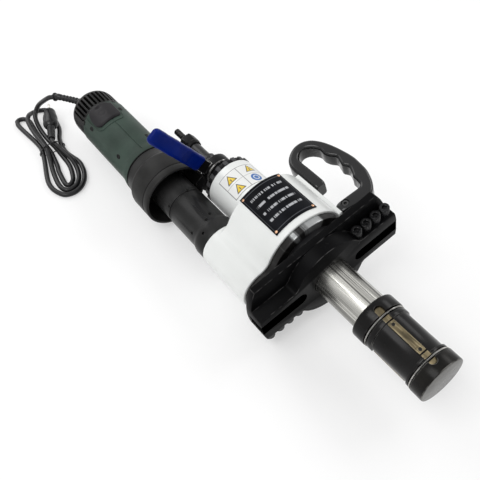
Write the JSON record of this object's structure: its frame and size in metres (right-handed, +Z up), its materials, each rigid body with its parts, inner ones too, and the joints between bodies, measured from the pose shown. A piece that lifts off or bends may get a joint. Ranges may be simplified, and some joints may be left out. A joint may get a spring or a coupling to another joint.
{
  "type": "pipe beveling machine",
  "caption": "Inner-mounting pipe beveling machine: expanding mandrel, feed screw with ratchet lever, rotating two-arm cutter head and geared electric drive.",
  "frame": {"origin": "centre of the box round the machine without its cord, on the floor it lies on", "axes": "+X along the main axis towards the mandrel head, +Z up from the floor"},
  "size_m": [0.761, 0.3049, 0.1866],
  "materials": {
    "white_paint": "semi-gloss white enamel",
    "dark_steel": "dark burnished",
    "black_oxide": "black oxide, satin",
    "bright_steel": "turned and ground bright",
    "black_plastic": "moulded black",
    "green_plastic": "fine-textured dark grey-green",
    "blue_vinyl": "dipped glossy blue",
    "bronze": "worn straw-coloured steel",
    "copper": "copper",
    "winding": "laminated core with windings",
    "carbon": "carbon",
    "black_rubber": "black flexible"
  },
  "bodies": {
    "frame": {"body_casing": "white_paint", "front_flange": "dark_steel", "front_bearing": "bright_steel", "rear_bearing": "bright_steel", "pinion_bearing_front": "bright_steel", "pinion_bearing_rear": "bright_steel", "nameplate": "black_plastic", "carry_handle": "black_plastic", "handle_screw_front": "bright_steel", "handle_screw_rear": "bright_steel", "neck_ring": "dark_steel", "drive_tube": "black_oxide", "gearbox_bell": "black_plastic", "motor_housing": "green_plastic", "rear_vent_cap": "black_plastic", "strain_relief": "black_rubber", "stator": "winding", "carbon_brush_1": "carbon", "carbon_brush_2": "carbon", "gearbox_plate": "dark_steel", "ring_gear": "dark_steel", "cord": "black_rubber", "cord_tie": "black_rubber", "plug": "black_rubber"},
    "cutter_spindle": {"spindle": "bright_steel", "main_gear": "dark_steel", "cutter_head": "black_oxide", "clamp_screw_a1": "black_oxide", "clamp_screw_a2": "black_oxide", "clamp_screw_a3": "black_oxide", "clamp_screw_a4": "black_oxide", "clamp_screw_b1": "black_oxide", "clamp_screw_b2": "black_oxide", "clamp_screw_b3": "black_oxide", "clamp_screw_b4": "black_oxide"},
    "drive_shaft": {"pinion_shaft": "bright_steel", "planet_carrier": "bright_steel"},
    "planet_1": {"planet_gear_1": "dark_steel"},
    "planet_2": {"planet_gear_2": "dark_steel"},
    "planet_3": {"planet_gear_3": "dark_steel"},
    "rotor": {"armature": "winding", "commutator": "copper", "cooling_fan": "black_plastic"},
    "mandrel": {"mandrel_shaft": "bright_steel", "rear_collar": "black_oxide", "head_body": "black_oxide", "mandrel_end_cap": "black_oxide", "garter_ring_1": "black_oxide", "garter_ring_2": "black_oxide"},
    "pull_rod": {"drawbar": "bright_steel"},
    "jaw_a": {"jaw_1": "bronze"},
    "jaw_b": {"jaw_2": "bronze"},
    "jaw_c": {"jaw_3": "bronze"},
    "pull_nut": {"draw_nut": "black_oxide"},
    "feed": {"feed_nut": "dark_steel", "ratchet_wheel": "dark_steel"},
    "lever": {"feed_lever": "black_oxide", "lever_sleeve": "blue_vinyl"},
    "pawl": {"pawl": "bright_steel"},
    "switch": {"switch_slide": "black_plastic"}
  },
  "joints": [
    {"name": "cutter_spin", "type": "hinge", "parent": "frame", "child": "cutter_spindle", "pos_m": [0.13768, -0.01002, 0.07476], "axis": [1, 0, 0], "continuous": true},
    {"name": "drive_spin", "type": "hinge", "parent": "frame", "child": "drive_shaft", "pos_m": [0.13768, -0.07182, 0.05383], "axis": [1, 0, 0], "continuous": true},
    {"name": "planet_1_spin", "type": "hinge", "parent": "drive_shaft", "child": "planet_1", "pos_m": [-0.13132, -0.05648, 0.05903], "axis": [1, 0, 0], "continuous": true},
    {"name": "planet_2_spin", "type": "hinge", "parent": "drive_shaft", "child": "planet_2", "pos_m": [-0.13132, -0.08399, 0.06452], "axis": [1, 0, 0], "continuous": true},
    {"name": "planet_3_spin", "type": "hinge", "parent": "drive_shaft", "child": "planet_3", "pos_m": [-0.13132, -0.07499, 0.03794], "axis": [1, 0, 0], "continuous": true},
    {"name": "rotor_spin", "type": "hinge", "parent": "frame", "child": "rotor", "pos_m": [0.13768, -0.07182, 0.05383], "axis": [1, 0, 0], "continuous": true},
    {"name": "feed_nut_turn", "type": "hinge", "parent": "frame", "child": "feed", "pos_m": [0.13768, -0.01002, 0.07476], "axis": [1, 0, 0], "range_deg": [0, 3155]},
    {"name": "mandrel_feed", "type": "slide", "parent": "frame", "child": "mandrel", "axis": [1, 0, 0], "range_m": [-0.035, 0]},
    {"name": "lever_swing", "type": "hinge", "parent": "frame", "child": "lever", "pos_m": [0.13768, -0.01002, 0.07476], "axis": [1, 0, 0], "range_deg": [-90, 24]},
    {"name": "pawl_lift", "type": "slide", "parent": "lever", "child": "pawl", "axis": [0, -0.7771, -0.6293], "range_m": [0, 0.003], "stiffness_N_per_m": 300},
    {"name": "draw_nut_turn", "type": "hinge", "parent": "mandrel", "child": "pull_nut", "pos_m": [0.13768, -0.01002, 0.07476], "axis": [1, 0, 0], "range_deg": [0, 1445]},
    {"name": "drawbar_pull", "type": "slide", "parent": "mandrel", "child": "pull_rod", "axis": [1, 0, 0], "range_m": [-0.008, 0], "deforming": ["garter_ring_1", "garter_ring_2"]},
    {"name": "jaw_a_expand", "type": "slide", "parent": "mandrel", "child": "jaw_a", "axis": [0, -0.2588, 0.9659], "range_m": [0, 0.00191]},
    {"name": "jaw_b_expand", "type": "slide", "parent": "mandrel", "child": "jaw_b", "axis": [0, -0.7071, -0.7071], "range_m": [0, 0.00191]},
    {"name": "jaw_c_expand", "type": "slide", "parent": "mandrel", "child": "jaw_c", "axis": [0, 0.9659, -0.2588], "range_m": [0, 0.00191]},
    {"name": "switch_slide", "type": "slide", "parent": "frame", "child": "switch", "axis": [1, 0, 0], "range_m": [0, 0.005]}
  ],
  "couplings": [
    {"joint": "drive_spin", "follows": "cutter_spin", "ratio": -3.5789},
    {"joint": "rotor_spin", "follows": "cutter_spin", "ratio": -16.105},
    {"joint": "feed_nut_turn", "follows": "mandrel_feed", "rad_per_m": -1570.8},
    {"joint": "draw_nut_turn", "follows": "drawbar_pull", "rad_per_m": -3141.6},
    {"joint": "planet_1_spin", "follows": "cutter_spin", "ratio": 10.021},
    {"joint": "planet_2_spin", "follows": "cutter_spin", "ratio": 10.021},
    {"joint": "planet_3_spin", "follows": "cutter_spin", "ratio": 10.021},
    {"joint": "jaw_a_expand", "follows": "drawbar_pull", "ratio": -0.2381},
    {"joint": "jaw_b_expand", "follows": "drawbar_pull", "ratio": -0.2381},
    {"joint": "jaw_c_expand", "follows": "drawbar_pull", "ratio": -0.2381}
  ]
}
